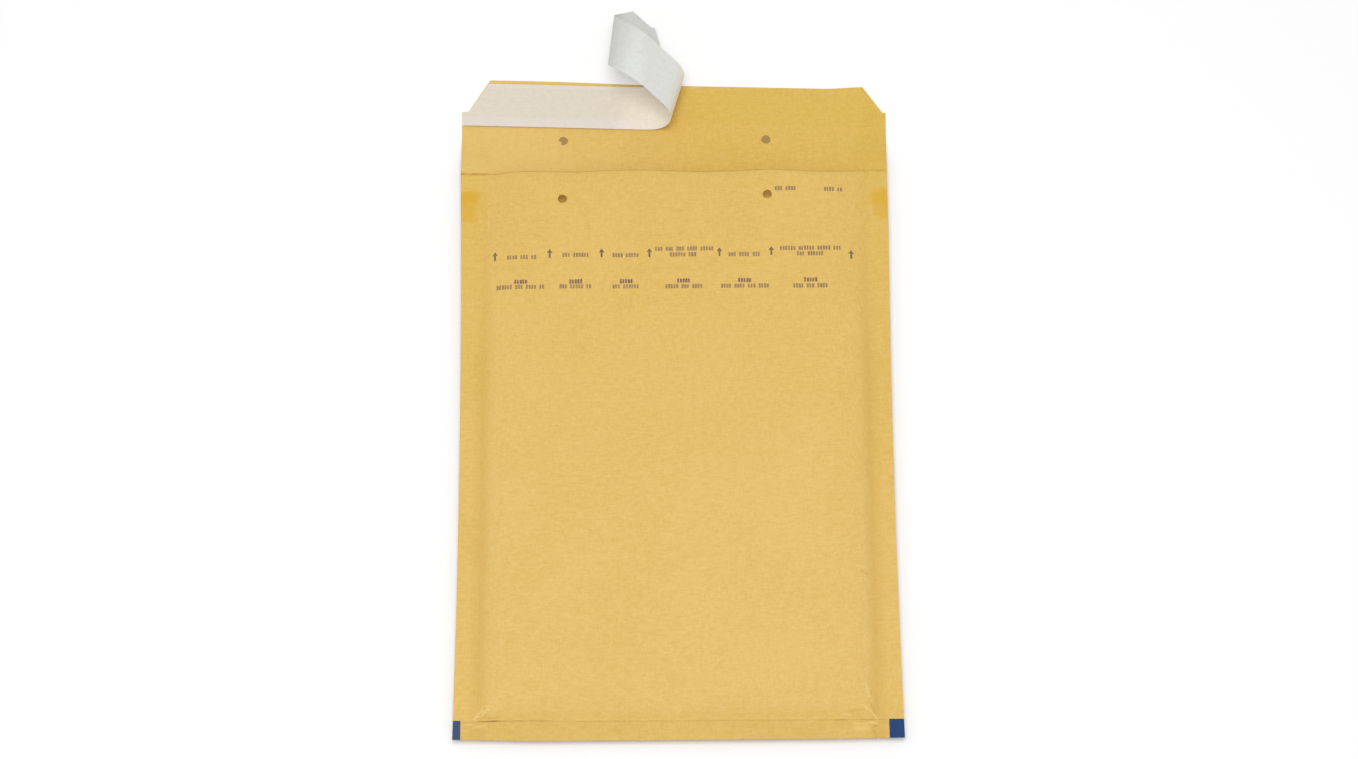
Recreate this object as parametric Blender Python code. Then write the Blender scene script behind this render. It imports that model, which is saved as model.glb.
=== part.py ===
"""A padded envelope of kraft paper that lies on its back with its flap opened out.

X runs across it, Y from the folded bottom up to the flap, Z up. The origin is the centre of the body's
underside. The strip that covers the flap's glue is stuck down on its left half and rolled back on its right.
"""

import math

import bmesh
import bpy
from mathutils import Matrix, Vector

# Body of the envelope
BODY_WIDTH = 0.200
BODY_LENGTH = 0.275
SEAM_WIDTH = 0.010
BOTTOM_BAND = 0.010
PAPER = 0.0002

# Padding and the space inside it
LINING_WALL = 0.0020
POCKET_HEIGHT = 0.0043
LINING_INSET = 0.0020
LINING_SETBACK = 0.0050
CLEARANCE = 0.00025

# How the filled middle swells up from the flat seams
SEAM_LIFT = 0.0046
SWELL_RUN = 0.018
SWELL_POWER = 2.2
CORNER_POWER = 3.0

# The front panel's lip at the mouth
LIP_DIP = 0.0010
LIP_WAVE = 0.0007
LIP_WAVE_LENGTH = 0.080
LIP_WAVE_RUN = 0.030

# The flap: its die-cut corners differ a little from left to right
FLAP_LEFT = 0.0492
FLAP_RIGHT = 0.0438
NOTCH_RISE_LEFT = 0.0324
NOTCH_RISE_RIGHT = 0.0308
NOTCH_LEFT = 0.0026
NOTCH_RIGHT = 0.0015
CHAMFER_LEFT = 0.0104
CHAMFER_RIGHT = 0.0085
FLAP_SETTLE_RUN = 0.0215

# Punched holes
HOLE_DIAMETER = 0.0043
HOLE_SPACING = 0.0962
HOLE_SHIFT = -0.0045
FLAP_HOLE_RISE = 0.0182
FRONT_HOLE_DROP_LEFT = 0.0152
FRONT_HOLE_DROP_RIGHT = 0.0136
HOLE_SIDES = 16

# Glue band and its cover strip, which lie a little turned on the flap. The strip's free end is a little short.
GLUE = 0.00015
GLUE_WIDTH = 0.0158
GLUE_MARGIN = 0.0045
GLUE_END = 0.0010
STRIP = 0.0002
STRIP_WIDTH = 0.0220
STRIP_SHORT = 0.008
STRIP_RISE = 0.0235
STRIP_TURN = math.radians(-1.4)

# Where the cover strip leaves the glue, and the two bends of its roll, both in the same sense.
# The second starts that far past the first one's start, along the strip's lower edge.
PEEL_X = -0.0121
FIRST_LEAN = math.radians(14.3)
FIRST_RADIUS = 0.0101
FIRST_ANGLE = math.radians(145)
SECOND_START = 0.0389
SECOND_LEAN = math.radians(25.5)
SECOND_RADIUS = 0.0123
SECOND_ANGLE = math.radians(190.3)
PEELED_LINES = 32

HALF_WIDTH = BODY_WIDTH / 2
HALF_INSIDE = HALF_WIDTH - SEAM_WIDTH
BOTTOM = -BODY_LENGTH / 2
MOUTH = BODY_LENGTH / 2
POCKET_BOTTOM = BOTTOM + BOTTOM_BAND
INNER_HEIGHT = POCKET_HEIGHT + 2 * LINING_WALL + 2 * CLEARANCE
GLUE_LIFT = PAPER + CLEARANCE
STRIP_LIFT = GLUE_LIFT + GLUE + CLEARANCE
NOTCH_ROW = (1.0, 1.0, 0.0)


def spread(first, last, count):
    """Evenly spaced values from first to last, without the last."""
    return [first + (last - first) * k / count for k in range(count)]


def mix(first, last, share):
    return first + (last - first) * share


def swell(distance):
    """How much of its full thickness the padding has, from 0 at a seam to 1."""
    share = min(max(distance / SWELL_RUN, 0.0), 1.0)
    return 1 - (1 - share) ** SWELL_POWER


def swell_distance(amount):
    """The distance from a seam at which the padding has that much of its thickness."""
    return SWELL_RUN * (1 - (1 - amount) ** (1 / SWELL_POWER))


def pocket_swell(x, y):
    side = HALF_INSIDE - abs(x)
    bottom = y - POCKET_BOTTOM
    if side <= 0 or bottom <= 0:
        return 0.0
    nearest = (side**-CORNER_POWER + bottom**-CORNER_POWER) ** (-1 / CORNER_POWER)
    return swell(nearest)


def underside(x, y):
    """Height of the back panel's lower face, which the flap takes over at the mouth and lets down flat."""
    lifted = SEAM_LIFT * (1 - pocket_swell(x, min(y, MOUTH)))
    settled = min(max(y - MOUTH, 0.0) / FLAP_SETTLE_RUN, 1.0)
    return lifted * (0.5 + 0.5 * math.cos(math.pi * settled))


def lip(x, y):
    """How far the front panel dips and waves near its open edge."""
    dip = max(1 - (MOUTH - y) / LINING_SETBACK, 0.0)
    wave = max(1 - (MOUTH - y) / LIP_WAVE_RUN, 0.0)
    rise = 0.5 + 0.5 * math.cos(2 * math.pi * x / LIP_WAVE_LENGTH)
    return LIP_WAVE * rise * wave**2 - LIP_DIP * dip**2


def back_inside(x, y):
    return underside(x, y) + PAPER


def front_inside(x, y):
    return back_inside(x, y) + (INNER_HEIGHT + lip(x, y)) * pocket_swell(x, y)


def flap_edge(side, y):
    """X of the flap's left (-1) or right (1) edge: straight, a small notch, then a chamfer."""
    notch_rise = NOTCH_RISE_LEFT if side < 0 else NOTCH_RISE_RIGHT
    if y <= MOUTH + notch_rise:
        return side * HALF_WIDTH
    length = FLAP_LEFT if side < 0 else FLAP_RIGHT
    notch = NOTCH_LEFT if side < 0 else NOTCH_RIGHT
    chamfer = CHAMFER_LEFT if side < 0 else CHAMFER_RIGHT
    climbed = (y - MOUTH - notch_rise) / (length - notch_rise)
    return side * (HALF_WIDTH - notch - chamfer * climbed)


def across(x):
    """0 at the left edge and 1 at the right."""
    return (x + HALF_WIDTH) / BODY_WIDTH


def inside_lines(closing):
    """Distances from a seam at which the padding's curve has a line, from the seam to the flat middle."""
    return [0.0, LINING_INSET] + [mix(closing, SWELL_RUN, k / 4) for k in range(5)]


def cavity_inset():
    """The distance from a seam at which the two walls of the lining come apart."""
    return swell_distance((2 * CLEARANCE + 2 * LINING_WALL) / INNER_HEIGHT)


def columns():
    """X lines from one seam's inner edge to the other's."""
    steps = inside_lines(cavity_inset())
    left = [-HALF_INSIDE + s for s in steps]
    return left[:-1] + spread(left[-1], -left[-1], 12) + [-x for x in reversed(left)]


def rows():
    """Y lines from the bottom seam's inner edge to the mouth."""
    steps = inside_lines(cavity_inset())
    bottom = [POCKET_BOTTOM + s for s in steps]
    waves = MOUTH - LIP_WAVE_RUN
    lining_end = MOUTH - LINING_SETBACK
    return bottom[:-1] + spread(bottom[-1], waves, 7) + spread(waves, lining_end, 3) + [lining_end, MOUTH]


def material(name, colour, roughness):
    made = bpy.data.materials.new(name)
    made.use_nodes = True
    shader = made.node_tree.nodes["Principled BSDF"]
    shader.inputs["Base Color"].default_value = (*colour, 1.0)
    shader.inputs["Roughness"].default_value = roughness
    shader.inputs["Metallic"].default_value = 0.0
    return made


class Skin:
    """Collects triangles between named points, and makes one closed object of them."""

    def __init__(self):
        self.bm = bmesh.new()
        self.points = {}

    def point(self, key, place):
        if key not in self.points:
            self.points[key] = self.bm.verts.new(place)
        return self.points[key]

    def face(self, *corners, from_second=False):
        """A fan of triangles from the first or the second corner; corners that coincide are left out."""
        if from_second:
            corners = corners[1:] + corners[:1]
        kept = [c for k, c in enumerate(corners) if c is not corners[k - 1]]
        for second, third in zip(kept[1:], kept[2:]):
            self.bm.faces.new((kept[0], second, third))

    def finish(self, name, look):
        bmesh.ops.recalc_face_normals(self.bm, faces=self.bm.faces)
        mesh = bpy.data.meshes.new(name)
        self.bm.to_mesh(mesh)
        self.bm.free()
        mesh.materials.append(look)
        made = bpy.data.objects.new(name, mesh)
        bpy.context.collection.objects.link(made)
        return made


def slab(name, look, place, cells):
    """A thin solid over the cells (i, j) of a grid; place(i, j, upper) gives its points."""
    skin = Skin()

    def corner(i, j, upper):
        return skin.point((i, j, upper), place(i, j, upper))

    for i, j in cells:
        for upper in (False, True):
            skin.face(
                corner(i, j, upper), corner(i + 1, j, upper), corner(i + 1, j + 1, upper), corner(i, j + 1, upper)
            )
        edges = {
            (i, j - 1): ((i, j), (i + 1, j)),
            (i, j + 1): ((i, j + 1), (i + 1, j + 1)),
            (i - 1, j): ((i, j), (i, j + 1)),
            (i + 1, j): ((i + 1, j), (i + 1, j + 1)),
        }
        for beside, (start, end) in edges.items():
            if beside not in cells:
                skin.face(corner(*start, False), corner(*end, False), corner(*end, True), corner(*start, True))
    return skin.finish(name, look)


def hole_places():
    """The four punched holes: x, y and whether it is in the flap."""
    left = HOLE_SHIFT - HOLE_SPACING / 2
    right = HOLE_SHIFT + HOLE_SPACING / 2
    return [
        (left, MOUTH + FLAP_HOLE_RISE, True),
        (right, MOUTH + FLAP_HOLE_RISE, True),
        (left, MOUTH - FRONT_HOLE_DROP_LEFT, False),
        (right, MOUTH - FRONT_HOLE_DROP_RIGHT, False),
    ]


def punch(piece, in_flap_too):
    """Cuts the holes with round punches that stop in the pocket, so that the back panel stays whole."""
    pocket_middle = PAPER + INNER_HEIGHT / 2
    for k, (x, y, in_flap) in enumerate(hole_places()):
        if in_flap and not in_flap_too:
            continue
        low = -pocket_middle if in_flap else pocket_middle
        bm = bmesh.new()
        bmesh.ops.create_cone(
            bm,
            cap_ends=True,
            segments=HOLE_SIDES,
            radius1=HOLE_DIAMETER / 2,
            radius2=HOLE_DIAMETER / 2,
            depth=INNER_HEIGHT * 2,
            matrix=Matrix.Translation((x, y, low + INNER_HEIGHT)),
        )
        mesh = bpy.data.meshes.new(f"punch_{piece.name}_{k}")
        bm.to_mesh(mesh)
        bm.free()
        cutter = bpy.data.objects.new(mesh.name, mesh)
        bpy.context.collection.objects.link(cutter)
        cutter.hide_render = True
        cutter.display_type = "WIRE"
        cut = piece.modifiers.new(f"hole {k}", "BOOLEAN")
        cut.object = cutter
        cut.operation = "DIFFERENCE"
        cut.solver = "EXACT"


def flap_rows():
    """Rows of the flap, as shares of three runs: where it settles, on to the notches, and on to the top."""
    settling = [(share, 0.0, 0.0) for share in (0.25, 0.5, 0.75, 1.0)]
    return settling + [NOTCH_ROW, (1.0, 1.0, 0.5), (1.0, 1.0, 1.0)]


def flap_point(row, x):
    """Where the flap's row crosses an X line, which leans in with the chamfers above the notches."""
    to_settled, to_notch, to_top = row
    notch_rise = mix(NOTCH_RISE_LEFT, NOTCH_RISE_RIGHT, across(x))
    top_rise = mix(FLAP_LEFT, FLAP_RIGHT, across(x))
    y = MOUTH + FLAP_SETTLE_RUN * to_settled
    y += (notch_rise - FLAP_SETTLE_RUN) * to_notch + (top_rise - notch_rise) * to_top
    if x < 0:
        return x + CHAMFER_LEFT * to_top * x / (NOTCH_LEFT - HALF_WIDTH), y
    return x - CHAMFER_RIGHT * to_top * x / (HALF_WIDTH - NOTCH_RIGHT), y


def kraft_envelope():
    """Back panel, flap and front panel of one folded sheet, with the side seams and the bottom pressed flat."""
    skin = Skin()
    xs = [-HALF_WIDTH, NOTCH_LEFT - HALF_WIDTH] + columns() + [HALF_WIDTH - NOTCH_RIGHT, HALF_WIDTH]
    ys = [BOTTOM] + rows()
    body_rows = len(ys)
    mouth = body_rows - 1
    flap = flap_rows()
    notch_row = body_rows + flap.index(NOTCH_ROW)
    last_row = mouth + len(flap)
    last_column = len(xs) - 1
    seam = 2

    def in_pocket(i, j):
        """Whether the cell right of and above this point is over the pocket."""
        return seam <= i < last_column - seam and 1 <= j < mouth

    def place(i, j):
        return (xs[i], ys[j]) if j <= mouth else flap_point(flap[j - body_rows], xs[i])

    def point(layer, i, j):
        x, y = place(i, j)
        border = not (seam < i < last_column - seam and j > 1)
        if layer == "front inside" and border:
            layer = "back inside"
        heights = {
            "back outside": underside,
            "back inside": back_inside,
            "front inside": front_inside,
            "front outside": lambda x, y: front_inside(x, y) + PAPER,
        }
        return skin.point((layer, i, j), (x, y, heights[layer](x, y)))

    def layer_face(layer, i, j):
        corners = [point(layer, i, j), point(layer, i + 1, j), point(layer, i + 1, j + 1), point(layer, i, j + 1)]
        skin.face(*corners, from_second=xs[i] >= 0)

    def wall(start, end, low, high):
        skin.face(point(low, *start), point(low, *end), point(high, *end), point(high, *start))

    for j in range(last_row):
        on_flap = j >= mouth
        first = 1 if j >= notch_row else 0
        last = last_column - first
        high = "back inside" if on_flap else "front outside"
        for i in range(first, last):
            layer_face("back outside", i, j)
            if on_flap or in_pocket(i, j):
                layer_face("back inside", i, j)
            if in_pocket(i, j):
                layer_face("front inside", i, j)
            if not on_flap:
                layer_face("front outside", i, j)
        for i in (first, last):
            if j + 1 == mouth:
                ends = [point("back outside", i, mouth), point("back inside", i, mouth)]
                ends.append(point("front outside", i, mouth))
                skin.face(point("back outside", i, j), *ends, point("front outside", i, j))
            else:
                wall((i, j), (i, j + 1), "back outside", high)

    for i in range(last_column):
        wall((i, 0), (i + 1, 0), "back outside", "front outside")
        wall((i, mouth), (i + 1, mouth), "front inside", "front outside")
        if 0 < i < last_column - 1:
            wall((i, last_row), (i + 1, last_row), "back outside", "back inside")
        else:
            wall((i, notch_row), (i + 1, notch_row), "back outside", "back inside")
    envelope = skin.finish("kraft_envelope", material("golden kraft paper", (0.74, 0.50, 0.15), 0.75))
    punch(envelope, in_flap_too=True)
    return envelope


def bubble_lining():
    """A folded pocket of padding inside the paper, closed at the bottom and the sides and open at the mouth."""
    skin = Skin()
    xs = columns()[1:-1]
    ys = rows()[1:-1]
    last_column = len(xs) - 1
    last_row = len(ys) - 1

    def hollow(i, j):
        return 1 <= i < last_column - 1 and j >= 1

    def point(layer, i, j):
        x, y = xs[i], ys[j]
        low = back_inside(x, y) + CLEARANCE
        high = front_inside(x, y) - CLEARANCE
        border = i <= 1 or i >= last_column - 1 or j <= 1
        if border and layer in ("back inner", "front inner"):
            return skin.point(("fold", i, j), (x, y, (low + high) / 2))
        heights = {
            "back outer": low,
            "back inner": low + LINING_WALL,
            "front inner": high - LINING_WALL,
            "front outer": high,
        }
        return skin.point((layer, i, j), (x, y, heights[layer]))

    def layer_face(layer, i, j):
        corners = [point(layer, i, j), point(layer, i + 1, j), point(layer, i + 1, j + 1), point(layer, i, j + 1)]
        skin.face(*corners, from_second=xs[i] >= 0)

    def wall(start, end, low, high):
        skin.face(point(low, *start), point(low, *end), point(high, *end), point(high, *start))

    for i in range(last_column):
        for j in range(last_row):
            layer_face("back outer", i, j)
            layer_face("front outer", i, j)
            if hollow(i, j):
                layer_face("back inner", i, j)
                layer_face("front inner", i, j)
        wall((i, 0), (i + 1, 0), "back outer", "front outer")
        if hollow(i, last_row):
            wall((i, last_row), (i + 1, last_row), "back outer", "back inner")
            wall((i, last_row), (i + 1, last_row), "front inner", "front outer")
    for j in range(last_row):
        wall((0, j), (0, j + 1), "back outer", "front outer")
        wall((last_column, j), (last_column, j + 1), "back outer", "front outer")
    # The closed ends of the two side folds at the mouth
    for first, second, fold in ((0, 1, 1), (last_column, last_column - 1, last_column - 1)):
        skin.face(
            point("back outer", first, last_row),
            point("back outer", second, last_row),
            point("back inner", fold, last_row),
            point("front outer", second, last_row),
            point("front outer", first, last_row),
        )
    lining = skin.finish("bubble_lining", material("clear bubble film", (0.80, 0.82, 0.82), 0.25))
    punch(lining, in_flap_too=False)
    return lining


def strip_place(along, up):
    """The place on the flap of a point of the flat strip: along it from the centre line, and up its width."""
    turned = Matrix.Rotation(STRIP_TURN, 2) @ Vector((along, up))
    return turned.x, turned.y + MOUTH + STRIP_RISE


def strip_end(side, up, inset=0.0):
    """How far along the strip its end lies, where it was cut with the flap's edge."""
    low = strip_place(side * HALF_WIDTH, up)[1]
    return flap_edge(side, low) - side * inset


def adhesive_strip():
    """The band of clear glue across the flap."""
    lines = 6
    ups = [GLUE_MARGIN + GLUE_WIDTH * k / 4 for k in range(5)]

    def place(i, j, upper):
        left = strip_end(-1, ups[j], GLUE_END)
        right = strip_end(1, ups[j], GLUE_END)
        x, y = strip_place(mix(left, right, i / lines), ups[j])
        return x, y, GLUE_LIFT + (GLUE if upper else 0.0)

    cells = {(i, j) for i in range(lines) for j in range(len(ups) - 1)}
    return slab("adhesive_strip", material("clear hot-melt glue", (0.72, 0.47, 0.13), 0.3), place, cells)


def rolled(point, flat, start, lean, radius, angle):
    """Rolls what lies past a slanting line up and over a cylinder that stands on that line.

    The line passes through (start, 0) and leans from the Y axis towards +X. The point's place on the flat strip
    says how far round it goes, because a later bend may have brought the point back before the line.
    """
    across_line = Vector((math.cos(lean), -math.sin(lean), 0.0))
    along_line = Vector((math.sin(lean), math.cos(lean), 0.0))
    line = Vector((start, 0.0, 0.0))
    turned = min(max((flat - line).dot(across_line) / radius, 0.0), angle)
    offset = point - line
    straight = offset.dot(across_line) - turned * radius
    forward = (radius - point.z) * math.sin(turned) + straight * math.cos(turned)
    height = radius - (radius - point.z) * math.cos(turned) + straight * math.sin(turned)
    moved = along_line * offset.dot(along_line) + across_line * forward
    return Vector((start + moved.x, moved.y, height))


def release_liner():
    """The strip over the glue: stuck down on the left, peeled and rolled back over itself on the right."""
    notch_left = MOUTH + NOTCH_RISE_LEFT - strip_place(-HALF_WIDTH, 0.0)[1]
    notch_right = MOUTH + NOTCH_RISE_RIGHT - strip_place(HALF_WIDTH, 0.0)[1]
    ups = sorted([0.0, notch_left, notch_right, mix(notch_right, STRIP_WIDTH, 0.5), STRIP_WIDTH])
    stuck_lines = 4
    bends = [
        (PEEL_X + SECOND_START, SECOND_LEAN, SECOND_RADIUS, SECOND_ANGLE),
        (PEEL_X, FIRST_LEAN, FIRST_RADIUS, FIRST_ANGLE),
    ]

    def alongs(up):
        """The strip's lines at a height up its width, from the left end to the right."""
        left = [-HALF_WIDTH, NOTCH_LEFT - HALF_WIDTH]
        right = [HALF_WIDTH - NOTCH_RIGHT - STRIP_SHORT, HALF_WIDTH - STRIP_SHORT]
        if up > notch_left:
            left = [strip_end(-1, up)] * 2
        if up > notch_right:
            right = [strip_end(1, up, STRIP_SHORT)] * 2
        peel = PEEL_X + up * math.tan(FIRST_LEAN)
        stuck = [mix(left[1], peel, k / stuck_lines) for k in range(1, stuck_lines)]
        return left + stuck + spread(peel, right[0], PEELED_LINES) + right

    lines = len(alongs(0.0))
    heights = [alongs(up) for up in ups]

    def place(i, j, upper):
        flat = Vector((heights[j][i], ups[j], STRIP if upper else 0.0))
        point = flat
        for bend in bends:
            point = rolled(point, flat, *bend)
        x, y = strip_place(point.x, point.y)
        return x, y, point.z + STRIP_LIFT

    def kept(i, j):
        if i == 0:
            return ups[j] < notch_left
        if i == lines - 2:
            return ups[j] < notch_right
        return True

    cells = {(i, j) for i in range(lines - 1) for j in range(len(ups) - 1) if kept(i, j)}
    return slab("release_liner", material("white siliconised paper", (0.80, 0.79, 0.74), 0.45), place, cells)


for old in list(bpy.data.objects):
    bpy.data.objects.remove(old, do_unlink=True)

kraft_envelope()
bubble_lining()
adhesive_strip()
release_liner()
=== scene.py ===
"""Looks of a padded envelope: golden kraft paper round a pocket of bubble film.

Its flap is opened out, and the strip that covers the flap's glue is half peeled off.
"""

import math

import bmesh
import bpy
import numpy as np
from mathutils import Matrix, Vector, noise


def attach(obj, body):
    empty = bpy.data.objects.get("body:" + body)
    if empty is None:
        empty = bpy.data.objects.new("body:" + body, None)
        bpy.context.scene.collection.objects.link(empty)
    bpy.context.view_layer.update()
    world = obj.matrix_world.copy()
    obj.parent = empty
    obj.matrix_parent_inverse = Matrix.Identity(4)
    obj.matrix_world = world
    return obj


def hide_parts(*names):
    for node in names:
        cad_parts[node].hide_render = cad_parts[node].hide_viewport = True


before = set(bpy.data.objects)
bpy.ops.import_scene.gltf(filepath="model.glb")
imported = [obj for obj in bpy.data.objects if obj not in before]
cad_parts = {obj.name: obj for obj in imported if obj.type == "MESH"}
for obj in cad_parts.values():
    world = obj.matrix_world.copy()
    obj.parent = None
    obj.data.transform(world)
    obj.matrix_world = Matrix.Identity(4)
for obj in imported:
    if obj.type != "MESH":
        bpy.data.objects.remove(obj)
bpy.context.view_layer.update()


# Kraft envelope
# One sheet of golden kraft paper, folded up at the bottom and glued along both sides, with the back panel
# running on into the flap. The seams are pressed flat, the padded middle swells between them, and the lip of
# the front panel lies a little wavy. Four holes are punched in it.
PAPER = 0.0002
BODY_WIDTH = 0.200
BODY_LENGTH = 0.275
SEAM_WIDTH = 0.010
BOTTOM_BAND = 0.010
# The padded middle: how high it swells, how far from the seams, and how high it lifts them off the table
INNER_HEIGHT = 0.0088
SEAM_LIFT = 0.0046
SWELL_RUN = 0.018
MOUTH_SWELL_RUN = 0.028
MOUTH_SWELL_START = 0.080
SWELL_POWER = 2.2
CORNER_POWER = 3.0
# The lip of the front panel, and its waves: x of the middle, half width, height
LIP_RUN = 0.030
LIP_DIP = 0.0010
LIP_DIP_RUN = 0.005
LIP_WAVES = (
    (-0.086, 0.012, -0.0016),
    (-0.010, 0.030, 0.0004),
    (0.030, 0.010, -0.0004),
    (0.058, 0.020, 0.0006),
)
# Where its cut edge lies lower than a straight cut: x of the middle, half width, drop
LIP_CUT_DROP = 0.0004
LIP_CUT_RUN = 0.012
LIP_CUT_WAVES = (
    (-0.088, 0.020, 0.0005),
    (-0.047, 0.018, 0.0006),
    (0.014, 0.034, 0.0010),
    (0.068, 0.026, 0.0012),
)

# The flap, whose die-cut corners differ a little from left to right
FLAP_LEFT = 0.0492
FLAP_RIGHT = 0.0438
NOTCH_RISE_LEFT = 0.0334
NOTCH_RISE_RIGHT = 0.0316
NOTCH_LEFT = 0.0026
NOTCH_RIGHT = 0.0015
CHAMFER_LEFT = 0.0098
CHAMFER_RIGHT = 0.0085
FLAP_SETTLE_RUN = 0.0215
FLAP_CORNER_RISE = 0.0012
FLAP_CORNER_RUN = 0.022
FLAP_LEFT_RISE = 0.0010
FLAP_LEFT_RISE_RUN = 0.080

# The punched holes, whose rims aren't quite round
HOLE_DIAMETER = 0.0043
HOLE_SPACING = 0.0962
HOLE_SHIFT = -0.0045
FLAP_HOLE_RISE = 0.0182
FRONT_HOLE_DROP_LEFT = 0.0152
FRONT_HOLE_DROP_RIGHT = 0.0136
HOLE_SIDES = 40
RIM_WAVES = 3
RIM_WAVE_DEPTH = 0.03
RIM_WAVE_SHIFT = 90
# A torn crumb of paper left on a rim: its angle, half its spread in degrees, and its share of the radius
CRUMB_ANGLE = 215
CRUMB_SPREAD = 38
CRUMB_DEPTH = 0.55
# From how low to how high each pair of holes is punched
FLAP_PUNCH = (-0.001, 0.002)
FRONT_PUNCH = (INNER_HEIGHT / 2, INNER_HEIGHT * 2)

# The padding draws the sides in between the corners, and the bottom corners a little up
WAIST = 0.0006
MOUTH_TUCK = 0.0005
MOUTH_TUCK_REACH = 0.035
CORNER_FLARE = 0.0008
FLARE_REACH = 0.014
BOTTOM_RISE = 0.0003
CORNER_RISE_LEFT = 0.0008
CORNER_RISE_RIGHT = 0.0003
CORNER_RISE_REACH = 0.040

HALF_WIDTH = BODY_WIDTH / 2
HALF_INSIDE = HALF_WIDTH - SEAM_WIDTH
BOTTOM = -BODY_LENGTH / 2
MOUTH = BODY_LENGTH / 2
POCKET_BOTTOM = BOTTOM + BOTTOM_BAND


def mix(first, last, share):
    return first + (last - first) * share


def eased(share):
    """0 to 1 with a soft start and end."""
    share = min(max(share, 0.0), 1.0)
    return share * share * (3 - 2 * share)


def bump(distance, half_width):
    """1 in the middle of a round-shouldered bump, 0 past its half width."""
    return eased(1 - abs(distance) / half_width)


def pocket_swell(x, y):
    side = HALF_INSIDE - abs(x)
    bottom = y - POCKET_BOTTOM
    if side <= 0 or bottom <= 0:
        return 0.0
    nearest = (side**-CORNER_POWER + bottom**-CORNER_POWER) ** (-1 / CORNER_POWER)
    towards_mouth = eased((y - MOUTH_SWELL_START) / (MOUTH - MOUTH_SWELL_START))
    run = mix(SWELL_RUN, MOUTH_SWELL_RUN, towards_mouth)
    return 1 - (1 - min(nearest / run, 1.0)) ** SWELL_POWER


def underside(x, y):
    lifted = SEAM_LIFT * (1 - pocket_swell(x, min(y, MOUTH)))
    return lifted * (0.5 + 0.5 * math.cos(math.pi * min(max(y - MOUTH, 0.0) / FLAP_SETTLE_RUN, 1.0)))


def lip(x, y):
    dip = max(1 - (MOUTH - y) / LIP_DIP_RUN, 0.0)
    wave = max(1 - (MOUTH - y) / LIP_RUN, 0.0)
    waves = sum(height * bump(x - middle, width) for middle, width, height in LIP_WAVES)
    return waves * wave**2 - LIP_DIP * dip**2


def cut_drop(x, y):
    near_mouth = max(1 - (MOUTH - y) / LIP_CUT_RUN, 0.0)
    waves = sum(drop * bump(x - middle, width) for middle, width, drop in LIP_CUT_WAVES)
    return (LIP_CUT_DROP + waves) * near_mouth**2


def back_inside(x, y):
    return underside(x, y) + PAPER


# Creases that run from a bottom corner up into the padding:
# start x, start y, angle in degrees, length, depth, width
CREASES = (
    (-0.0905, -0.1280, 62, 0.016, -0.00035, 0.0016),
    (-0.0900, -0.1275, 38, 0.013, 0.00030, 0.0016),
    (-0.0885, -0.1272, 12, 0.020, -0.00025, 0.0014),
    (0.0900, -0.1275, 128, 0.030, 0.00045, 0.0019),
    (0.0890, -0.1268, 150, 0.026, -0.00040, 0.0020),
    (0.0880, -0.1270, 166, 0.030, 0.00030, 0.0017),
    (0.0915, -0.1265, 108, 0.024, -0.00035, 0.0018),
    (0.0930, -0.1300, 250, 0.010, -0.00012, 0.0012),
)


def creases(x, y):
    total = 0.0
    for start_x, start_y, angle, length, depth, width in CREASES:
        turn = math.radians(angle)
        along = (x - start_x) * math.cos(turn) + (y - start_y) * math.sin(turn)
        beside = (y - start_y) * math.cos(turn) - (x - start_x) * math.sin(turn)
        if 0 < along < length:
            spread = width * mix(0.6, 2.0, along / length)
            total += depth * math.sin(math.pi * (along / length) ** 0.6) * bump(beside, spread)
    return total


# Hollows of the padded panel, which never lies quite flat: waves to a metre along x and y, and height
SLOW_HOLLOWS = (18, 12, 0.0006)
SMALL_HOLLOWS = (55, 45, 0.00018)
# The rows of bubbles that show faintly through it: their pitch along x and y, and height
SHOWN_BUBBLES = (0.0105, 0.0182, 0.00003)


def unevenness(x, y):
    total = 0.0
    for (across, along, height), layer in ((SLOW_HOLLOWS, 3.1), (SMALL_HOLLOWS, 8.4)):
        total += noise.noise(Vector((x * across, y * along, layer))) * height
    pitch_x, pitch_y, height = SHOWN_BUBBLES
    total += height * math.cos(2 * math.pi * y / pitch_y) * math.cos(2 * math.pi * x / pitch_x)
    return total * pocket_swell(x, y)


def front_inside(x, y):
    height = (INNER_HEIGHT + lip(x, y)) * pocket_swell(x, y)
    return back_inside(x, y) + height + unevenness(x, y) + creases(x, y)


def flap_edge(side, y):
    notch_rise = NOTCH_RISE_LEFT if side < 0 else NOTCH_RISE_RIGHT
    if y <= MOUTH + notch_rise:
        return side * HALF_WIDTH
    length = FLAP_LEFT + FLAP_LEFT_RISE if side < 0 else FLAP_RIGHT
    notch = NOTCH_LEFT if side < 0 else NOTCH_RIGHT
    chamfer = CHAMFER_LEFT if side < 0 else CHAMFER_RIGHT
    climbed = (y - MOUTH - notch_rise) / (length - notch_rise)
    return side * (HALF_WIDTH - notch - chamfer * climbed)


def drawn_in(x, y):
    """Where a point of the flat sheet comes to lie once the padding has drawn the sheet in."""
    outer = eased((abs(x) - HALF_WIDTH) / FLARE_REACH + 1)
    spread = mix(-WAIST, CORNER_FLARE, min((y / MOUTH) ** 2, 1.0))
    if x > 0:
        spread -= MOUTH_TUCK * bump(y - MOUTH, MOUTH_TUCK_REACH)
    rise = CORNER_RISE_LEFT if x < 0 else CORNER_RISE_RIGHT
    rise = BOTTOM_RISE + rise * eased((abs(x) - HALF_WIDTH) / CORNER_RISE_REACH + 1)
    rise *= eased(1 - (y - BOTTOM) / BOTTOM_BAND)
    return x + spread * math.copysign(outer, x), y + rise


def lines(*runs):
    """Values along runs of (start, end, step), without doubles where runs meet."""
    found = []
    for start, end, step in runs:
        count = max(round((end - start) / step), 1)
        found += [mix(start, end, k / count) for k in range(count)]
    return found + [runs[-1][1]]


def cell_corners(i, j):
    return (i, j), (i + 1, j), (i + 1, j + 1), (i, j + 1)


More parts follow.
